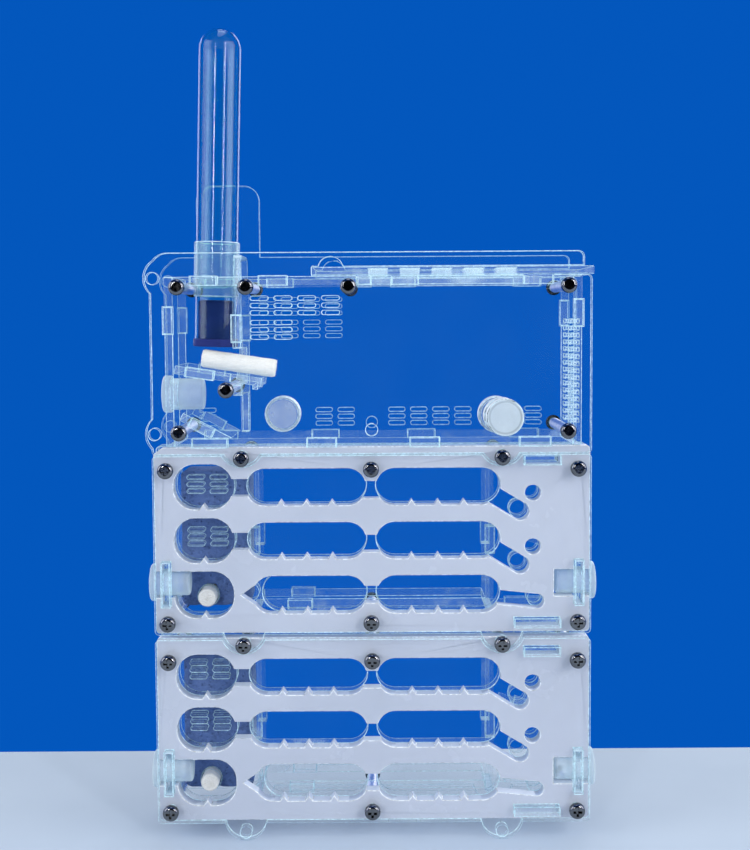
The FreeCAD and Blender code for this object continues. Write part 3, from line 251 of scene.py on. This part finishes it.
def cotton():
    """Twisted white cotton, with fibres along the rod."""
    look = Look("cotton_wick", Roughness=0.95, Sheen_Weight=0.5, Sheen_Roughness=0.6,
                Specular_IOR_Level=0.15)
    fibres = look.noise(1600.0, 4.0, 0.7, look.stretch((0.35, 1.0, 1.0)))
    patch = look.noise(220.0, 3.0)
    shaded = look.math("MULTIPLY", look.between(fibres, 0.3, 0.7),
                       look.between(patch, 0.2, 0.8, 0.6, 1.0))
    look.drive(Base_Color=look.blend(shaded, (0.84, 0.82, 0.78), (1.0, 0.99, 0.95)))
    look.bump(fibres, 0.00022)
    return look.material


def steel(name, shade, rough):
    """Screws and rods, with hair-fine turning marks and a few smears.  shade sets the steel's
    tone; a low shade is a painted dark reflection.
    """
    look = Look(name, Metallic=1.0, Anisotropic=0.25)
    marks = look.noise(2400.0, 2.0, 0.5)
    smear = look.noise(260.0, 3.0)
    look.drive(
        Base_Color=look.blend(look.between(smear, 0.3, 0.7), (shade, shade, shade * 1.02),
                              (shade * 1.35, shade * 1.35, shade * 1.37)),
        Roughness=look.between(smear, 0.3, 0.75, rough, rough + 0.12))
    look.bump(marks, 0.00001)
    return look.material


def rubber():
    """Dull dark blue rubber."""
    look = Look("stopper_rubber", IOR=1.5, Specular_IOR_Level=0.18)
    cloud = look.noise(120.0, 4.0)
    look.drive(
        Base_Color=look.blend(look.between(cloud, 0.3, 0.7), (0.008, 0.014, 0.120),
                              (0.014, 0.024, 0.175)),
        Roughness=look.between(look.noise(900.0, 3.0), 0.3, 0.7, 0.46, 0.60))
    look.bump(look.noise(1400.0, 3.0), 0.00003)
    return look.material


def lid_rings(look, body, heart, radius):
    """The body's cover with a thick rim and a clearer ring inside it, round the
    Y axis of a round lid."""
    away = look.vector("SUBTRACT", look.spot["Object"], tuple(heart))[0]
    flat = look.vector("MULTIPLY", away, (1.0 / radius, 0.0, 1.0 / radius))[0]
    out = look.vector("LENGTH", flat)["Value"]
    lip = look.between(out, 0.92, 0.94)
    ring = look.math("MULTIPLY", look.between(out, 0.78, 0.82),
                     look.between(out, 0.86, 0.90, 1.0, 0.0))
    body = look.math("ADD", body, look.math("MULTIPLY", lip, 0.35))
    return look.math("SUBTRACT", body, look.math("MULTIPLY", ring, 0.22), clamp=True)


def hazy(name, tint, centre, rim, rough, fleck=0.05, round_part=None):
    """Clouded clear plastic that turns whiter where it is seen along its wall.
    round_part is the centre and radius of a round lid with a thick rim."""
    look = Look(name, IOR=1.47, Specular_IOR_Level=0.8)
    graze = look.graze()
    cloud = look.noise(140.0, 4.0)
    body = look.mix(look.math("POWER", graze, 1.8), centre, rim)
    if round_part is not None:
        body = lid_rings(look, body, *round_part)
    look.drive(
        Base_Color=look.blend(look.math("POWER", graze, 1.5), tint, scaled(tint, 1.4)),
        Alpha=look.math("ADD", body, look.between(cloud, 0.3, 0.7, -fleck, fleck), clamp=True),
        Roughness=look.between(look.noise(500.0, 3.0), 0.3, 0.7, rough, rough + 0.12))
    look.bump(look.noise(260.0, 3.0), 0.00002)
    return look.material


def glass():
    """The water tube: thin clear wall with faint drawing lines along it."""
    look = Look("tube_glass", IOR=1.18, Transmission_Weight=1.0,
                Coat_Weight=0.4, Coat_Roughness=0.03, Coat_IOR=1.45)
    lines = look.noise(500.0, 3.0, 0.5, look.stretch((1.0, 1.0, 0.02)))
    film = look.noise(60.0, 4.0)
    look.drive(
        Base_Color=look.blend(look.between(film, 0.35, 0.7), (0.74, 0.98, 0.90),
                              (0.84, 1.0, 0.95)),
        Roughness=look.between(film, 0.4, 0.75, 0.0, 0.05))
    look.bump(lines, 0.00003)
    return look.material


def dress(name, material, line=None, width=THIN):
    """Gives a node its material, and a thin broken edge carrying its line material, a painted
    highlight, where it has one.
    """
    mesh = nodes[name].data
    mesh.materials.clear()
    mesh.materials.append(material)
    if line is None:
        return
    mesh.materials.append(line)
    weld = nodes[name].modifiers.new("Weld", "WELD")
    weld.merge_threshold = 1e-6
    bevel = nodes[name].modifiers.new("BrokenEdge", "BEVEL")
    bevel.width = width
    bevel.segments = 1
    bevel.limit_method = "ANGLE"
    bevel.angle_limit = 0.6
    bevel.use_clamp_overlap = False
    bevel.material = 1


UPRIGHT = clear_sheet("clear_upright", (0, 1, 0))
INNER = clear_sheet("clear_inner", (0, 1, 0), haze=0.0015)
LEVEL = clear_sheet("clear_level", (0, 0, 1), haze=0.012)
SIDE = clear_sheet("clear_side", (1, 0, 0), haze=0.008, slot=0.75)
SHELF = sloping_sheet("clear_shelf", SHELF_SLOPE, haze=0.03, edge=0.2)
RAMP = sloping_sheet("clear_ramp", RAMP_SLOPE, haze=0.03, edge=0.2)
TOWER = sloping_sheet("clear_tower", TOWER_SLOPE)
# The cut-line materials are painted highlights on the bevelled edges; the far line is a weaker
# painted highlight for the back plates.
LINE = cut_line("clear_cut_highlight", (0.66, 0.92, 1.0), 1.0)
INNER_LINE = cut_line("clear_inner_highlight", (0.62, 0.90, 1.0), 0.95)
FAINT = cut_line("clear_far_highlight", (0.50, 0.84, 1.0), 0.62)
MILKY = milky_sheet()
MILKY_LINE = cut_line("milky_cut_highlight", (0.93, 0.97, 1.0), 1.0)
FOAM = sponge_foam()
COTTON = cotton()
COLLAR = hazy("collar_plastic", (0.55, 0.76, 0.88), 0.05, 0.45, 0.08, 0.02)
PLUG = hazy("plug_silicone", (0.60, 0.72, 0.83), 0.45, 0.88, 0.30)
# The plug and dish edges get a painted highlight: a whiter, more opaque line round their rims.
PLUG_EDGE_HIGHLIGHT = cut_line("plug_edge_highlight", (0.80, 0.88, 0.95), 0.7)
DISH_EDGE_HIGHLIGHT = cut_line("dish_edge_highlight", (0.74, 0.93, 1.0), 1.0)
DISH_TINT = (0.72, 0.82, 0.89)
DISH_CLOUD = {"front": 0.66, "middle": 0.28, "rear": 0.24, "left": 0.28}
# The screws' steel is painted far darker than bare steel: a painted dark reflection of the room
# round the heads.
SCREW_STEEL = steel("screw_steel", 0.15, 0.05)
ROD_STEEL = steel("rod_steel", 0.74, 0.34)

for nest in NESTS:
    dress(nest + "cover", UPRIGHT, LINE)
    dress(nest + "chamber_plate", INNER, INNER_LINE, BOLD)
    dress(nest + "divider", INNER, INNER_LINE)
    dress(nest + "back_plate", INNER, FAINT)
    for part in ("middle_floor", "middle_roof", "tower_floor", "tower_roof"):
        dress(nest + part, LEVEL, LINE)
    for part in ("left_wall", "right_wall", "left_partition", "right_partition"):
        dress(nest + part, SIDE, LINE, WALL_EDGE)
    dress(nest + "tower_ramp", TOWER, LINE)
    dress(nest + "chamber_mask", MILKY, MILKY_LINE, MASK_EDGE)
    dress(nest + "moisture_sponge", FOAM)
    dress(nest + "wick", COTTON)
    dress(nest + "left_plug", PLUG, PLUG_EDGE_HIGHLIGHT)
    dress(nest + "right_plug", PLUG, PLUG_EDGE_HIGHLIGHT)
dress("outworld_front_plate", UPRIGHT, LINE)
dress("outworld_back_plate", UPRIGHT, FAINT)
for part in ("outworld_floor", "outworld_roof", "sliding_lid"):
    dress(part, LEVEL, LINE)
for part in ("left_wall", "right_wall", "partition"):
    dress("outworld_" + part, SIDE, LINE, WALL_EDGE)
dress("outworld_port_plug", PLUG, PLUG_EDGE_HIGHLIGHT)
dress("feeding_shelf", SHELF, LINE)
dress("entry_ramp", RAMP, LINE)
dress("feeding_wick", COTTON)
dress("water_tube", glass())
dress("tube_collar", COLLAR, LINE, BOLD)
dress("tube_stopper", rubber())
for part, cloudy in DISH_CLOUD.items():
    low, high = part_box("dish_" + part)
    dish = hazy("dish_plastic_" + part, DISH_TINT, cloudy, 0.90, 0.16, 0.06,
                ((low + high) / 2, (high.x - low.x) / 2))
    dress("dish_" + part, dish, DISH_EDGE_HIGHLIGHT, BOLD)
for part in ("front_screws", "back_screws"):
    dress(part, SCREW_STEEL)
for part in ("nest_standoffs", "outworld_standoffs"):
    dress(part, ROD_STEEL)


# ---------------------------------------------------------------- soft pieces
def settled(obj):
    """The object's mesh with its modifiers applied."""
    shown = obj.evaluated_get(bpy.context.evaluated_depsgraph_get())
    mesh = bpy.data.meshes.new_from_object(shown)
    obj.modifiers.clear()
    obj.data = mesh
    return mesh


def place(obj, material, body, stands_for):
    """Smooths a soft piece, and puts it in the place of its node."""
    obj.data.materials.clear()
    obj.data.materials.append(material)
    for polygon in obj.data.polygons:
        polygon.use_smooth = True
    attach(obj, body)
    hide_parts(stands_for)


def linked(name, mesh):
    obj = bpy.data.objects.new(name, mesh)
    scene.collection.objects.link(obj)
    return obj


def hollow(spot, scale, reach, depth):
    """How deep the nearest pore of a net of cells is at a spot."""
    return depth * max(0.0, 1.0 - noise.voronoi(spot * scale)[0][0] / reach)


def foam_block(nest):
    """Open-pored sponge: the cut block, with its surface opened into pores."""
    obj = linked(nest + "sponge_foam", nodes[nest + "moisture_sponge"].data.copy())
    remesh = obj.modifiers.new("Foam", "REMESH")
    remesh.mode = "VOXEL"
    remesh.voxel_size = 0.0006
    mesh = settled(obj)
    moved = []
    for vertex in mesh.vertices:
        spot = vertex.co
        depth = hollow(spot, 340.0, 0.42, 0.0009) + hollow(spot, 800.0, 0.4, 0.00035)
        sag = 0.00025 * (0.5 + 0.5 * noise.noise(spot * 90.0))
        moved.append(spot - vertex.normal * (depth + sag))
    for vertex, spot in zip(mesh.vertices, moved):
        vertex.co = spot
    place(obj, FOAM, "habitat", nest + "moisture_sponge")


FIBRES = 150
END_FIBRES = 70
FIBRE_RADIUS = 0.00003
FIBRE_STEPS = 5
ROD_AROUND = 96
ROD_DOWN = 60
ROD_TURN = 2.2
ROD_RIDGES = 9.0
END_TRIM = 0.0007
END_LEVELS = 9


def strand(mesh, start, heading, length, rng):
    """One loose fibre, a thin three-sided thread that wanders a little."""
    heading = heading.normalized()
    side = heading.orthogonal().normalized()
    other = heading.cross(side)
    rings = []
    spot = start.copy()
    bend = Vector((rng.uniform(-1, 1), rng.uniform(-1, 1), rng.uniform(-1, 1))) * 0.35
    for step in range(FIBRE_STEPS + 1):
        thin = FIBRE_RADIUS * (1.0 - 0.6 * step / FIBRE_STEPS)
        rings.append([mesh.verts.new(spot + (side * math.cos(a) + other * math.sin(a)) * thin)
                      for a in (0.0, 2.094, 4.189)])
        heading = (heading + bend * 0.4).normalized()
        spot = spot + heading * (length / FIBRE_STEPS)
    for one, two in zip(rings, rings[1:]):
        band(mesh, one, two)
    mesh.faces.new(rings[-1])


def band(mesh, one, two):
    """Faces between two rings of as many points."""
    count = len(one)
    for k in range(count):
        mesh.faces.new((one[k], one[(k + 1) % count], two[(k + 1) % count], two[k]))


def rod_ring(mesh, centre, axis, side, other, length, radius, seed, row):
    """One ring of the rod's wall, with its ropy ridges."""
    t = row / ROD_DOWN
    ends = min(t, 1.0 - t) * length
    trim = 1.0 if ends > END_TRIM else 0.90 + 0.10 * math.sqrt(ends / END_TRIM)
    ring = []
    for k in range(ROD_AROUND):
        angle = 2 * math.pi * k / ROD_AROUND
        twist = angle + ROD_TURN * t
        wave = noise.noise(Vector((math.cos(angle), math.sin(angle), t * 5.0)))
        ridge = 0.5 + 0.5 * math.sin(twist * ROD_RIDGES + 2.0 * wave)
        grain = noise.noise(Vector((math.cos(twist) * 9.0, math.sin(twist) * 9.0,
                                    t * 4.0 + seed)))
        r = radius * trim * (0.955 + 0.022 * ridge + 0.022 * grain)
        shift = 0.0003 * noise.noise(Vector((math.cos(angle) * 3, math.sin(angle) * 3, seed)))
        reach = (t - 0.5) * (length - 0.0008) + (shift if row in (0, ROD_DOWN) else 0.0)
        ring.append(mesh.verts.new(
            centre + axis * reach + (side * math.cos(angle) + other * math.sin(angle)) * r))
    return ring


def rod_end(mesh, ring, way, centre, axis, length, seed):
    """Closes an end of the rod with shrinking rings of rough fibre ends."""
    inner = ring
    for level in range(1, END_LEVELS):
        share = 1.0 - level / END_LEVELS
        fresh = []
        for k, vertex in enumerate(ring):
            flat = vertex.co - centre
            flat = flat - axis * flat.dot(axis)
            rough = noise.noise(Vector((k * 0.35, level * 0.9, seed * 3.1 + way)))
            fresh.append(mesh.verts.new(
                centre + axis * (way * (length / 2 - 0.0004) + way * 0.00025 * rough
                                 + way * 0.0001 * math.sin(level * 1.9)) + flat * share))
        band(mesh, inner, fresh)
        inner = fresh
    mesh.faces.new(inner)


def loose_fibres(mesh, centre, axis, side, other, length, radius, seed):
    """Fibres that stand off the rod's ends and its wall."""
    rng = random.Random(seed)
    for count in range(FIBRES):
        angle, t = rng.uniform(0, 2 * math.pi), rng.random()
        flat = side * math.cos(angle) + other * math.sin(angle)
        if count < END_FIBRES:
            t = rng.choice((0.02, 0.98))
            flat_share = rng.uniform(0.2, 0.92)
            start = centre + axis * ((t - 0.5) * length) + flat * radius * flat_share
            heading = axis * (1.0 if t > 0.5 else -1.0) + flat * rng.uniform(-0.3, 0.8)
            reach = rng.uniform(0.0004, 0.0010)
        else:
            start = centre + axis * ((t - 0.5) * length * 0.95) + flat * radius * 0.93
            heading = axis * rng.choice((-1.0, 1.0)) + flat * rng.uniform(0.05, 0.35)
            reach = rng.uniform(0.0008, 0.0022)
        strand(mesh, start, heading, reach, rng)


def cotton_rod(name, node, axis, length, radius, seed):
    """A rod of twisted cotton: ropy ridges, ragged ends and loose fibres."""
    low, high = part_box(node)
    centre = (low + high) / 2
    axis = axis.normalized()
    side = axis.orthogonal().normalized()
    other = axis.cross(side)
    mesh = bmesh.new()
    rings = [rod_ring(mesh, centre, axis, side, other, length, radius, seed, row)
             for row in range(ROD_DOWN + 1)]
    for one, two in zip(rings, rings[1:]):
        band(mesh, one, two)
    rod_end(mesh, rings[0], -1.0, centre, axis, length, seed)
    rod_end(mesh, rings[-1], 1.0, centre, axis, length, seed)
    loose_fibres(mesh, centre, axis, side, other, length, radius, seed)
    bmesh.ops.recalc_face_normals(mesh, faces=mesh.faces)
    data = bpy.data.meshes.new(name)
    mesh.to_mesh(data)
    mesh.free()
    place(linked(name, data), COTTON, "habitat", node)


for number, nest in enumerate(NESTS):
    foam_block(nest)
    low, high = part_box(nest + "wick")
    cotton_rod(nest + "cotton_wick", nest + "wick", Vector((0, 1, 0)),
               high.y - low.y, (high.x - low.x) / 2, number + 1)
low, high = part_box("feeding_wick")
FEEDING_WICK_LONG = 0.0278
cotton_rod("feeding_cotton_wick", "feeding_wick",
           Vector((math.cos(SHELF_SLOPE), 0, -math.sin(SHELF_SLOPE))),
           FEEDING_WICK_LONG, (high.y - low.y) / 2, 5)


# ---------------------------------------------------------------- stage
FLOOR_WIDE = 2.4
FLOOR_DEEP = 1.1
FLOOR_BACK = 0.075
FLOOR_DROP = 0.0002
CARD_CORNERS = ((-1.1, -1.6, -0.05), (1.1, -1.6, -0.05), (1.1, -1.6, 1.7), (-1.1, -1.6, 1.7))
BACKDROP_BLUE = (0.001, 0.095, 0.505, 1.0)
SOFT_LIGHT = (0.33, 0.35, 0.38, 1.0)
LAMP_AIM = (0.0, 0.0, 0.13)
WHITE = (1.0, 1.0, 1.0)


def floor():
    look = Look("pale_floor", Roughness=0.85, Specular_IOR_Level=0.1)
    grain = look.noise(14.0, 4.0)
    look.drive(Base_Color=look.blend(look.between(grain, 0.3, 0.7), (0.49, 0.58, 0.71),
                                     (0.52, 0.61, 0.74)))
    mesh = bmesh.new()
    bmesh.ops.create_grid(mesh, x_segments=24, y_segments=24, size=0.5)
    bmesh.ops.scale(mesh, verts=mesh.verts, vec=(FLOOR_WIDE, FLOOR_DEEP, 1.0))
    bmesh.ops.translate(mesh, verts=mesh.verts, vec=(0.0, FLOOR_BACK - FLOOR_DEEP / 2, 0.0))
    data = bpy.data.meshes.new("floor")
    mesh.to_mesh(data)
    mesh.free()
    data.materials.append(look.material)
    obj = linked("floor", data)
    obj.location.z = -FLOOR_DROP


def dark_card():
    """A dark card behind the camera, which the polished metal mirrors."""
    look = Look("dark_card", Roughness=0.9, Specular_IOR_Level=0.0)
    look.drive(Base_Color=look.blend(look.noise(3.0), (0.004, 0.006, 0.010),
                                     (0.008, 0.010, 0.016)))
    data = bpy.data.meshes.new("dark_card")
    data.from_pydata(CARD_CORNERS, [], [(0, 1, 2, 3)])
    data.materials.append(look.material)
    obj = linked("dark_card", data)
    obj.visible_camera = False
    obj.visible_transmission = False
    obj.visible_diffuse = False


def lamp(name, spot, wide, tall, watts, colour=WHITE, through_glass=True):
    """A soft lamp aimed at the object.  The lamps behind it aren't seen through
    the water tube."""
    light = bpy.data.lights.new(name, "AREA")
    light.shape = "RECTANGLE"
    light.size, light.size_y = wide, tall
    light.energy = watts
    light.color = colour
    obj = linked(name, light)
    obj.location = spot
    obj.rotation_euler = (Vector(LAMP_AIM) - Vector(spot)).to_track_quat("-Z", "Y").to_euler()
    obj.visible_camera = False
    obj.visible_transmission = through_glass


def backdrop():
    """A blue world for camera, glossy and transmission rays, and soft grey light
    for the others."""
    world = bpy.data.worlds.new("studio")
    scene.world = world
    world.use_nodes = True
    links, made = world.node_tree.links, world.node_tree.nodes
    rays = made.new("ShaderNodeLightPath").outputs
    shown = rays["Is Camera Ray"]
    for kind in ("Is Transmission Ray", "Is Glossy Ray"):
        either = made.new("ShaderNodeMath")
        either.operation = "MAXIMUM"
        links.new(shown, either.inputs[0])
        links.new(rays[kind], either.inputs[1])
        shown = either.outputs[0]
    shade = made.new("ShaderNodeMix")
    shade.data_type = "RGBA"
    links.new(shown, shade.inputs[0])
    shade.inputs[6].default_value = SOFT_LIGHT
    shade.inputs[7].default_value = BACKDROP_BLUE
    links.new(shade.outputs[2], made["Background"].inputs["Color"])


floor()
dark_card()
lamp("key", (0.75, -0.95, 0.80), 0.5, 0.6, 2.0, (1.0, 0.985, 0.96))
lamp("right_side", (0.95, -0.30, 0.52), 0.8, 0.8, 5.6)
lamp("left_side", (-0.95, -0.30, 0.52), 0.8, 0.8, 5.2, (0.95, 0.98, 1.0))
lamp("right_strip", (0.608, -0.876, 0.46), 0.05, 0.45, 2.1)
lamp("left_strip", (-0.404, -1.044, 0.46), 0.05, 0.45, 2.1)
lamp("top", (0.0, 0.05, 1.1), 0.35, 0.9, 1.6)
lamp("rim", (0.45, 0.95, 0.60), 0.5, 0.9, 2.5, through_glass=False)
lamp("back_fill", (-0.70, 0.80, 0.35), 0.6, 0.8, 2.0, through_glass=False)
backdrop()

# ---------------------------------------------------------------- camera
# The focal length, the picture's height and the shift are in picture points.
FOCAL = 1204.0
PICTURE_TALL = 850.0
SHIFT = -30.0
SENSOR = 36.0
EYE_AT = (0.00129, -0.448, 0.1901)
TILT_DOWN = 3.58
ROLL = -0.0061
camera = bpy.data.cameras.new("camera")
camera.sensor_width = SENSOR
camera.lens = FOCAL * SENSOR / PICTURE_TALL
camera.shift_y = SHIFT / PICTURE_TALL
camera.clip_start = 0.01
eye = linked("camera", camera)
eye.matrix_world = (Matrix.Translation(EYE_AT)
                    @ Matrix.Rotation(math.radians(90.0 - TILT_DOWN), 4, "X")
                    @ Matrix.Rotation(ROLL, 4, "Z"))
scene.camera = eye
scene.view_settings.view_transform = "Standard"
scene.cycles.max_bounces = 24
scene.cycles.transmission_bounces = 16
scene.cycles.transparent_max_bounces = 96
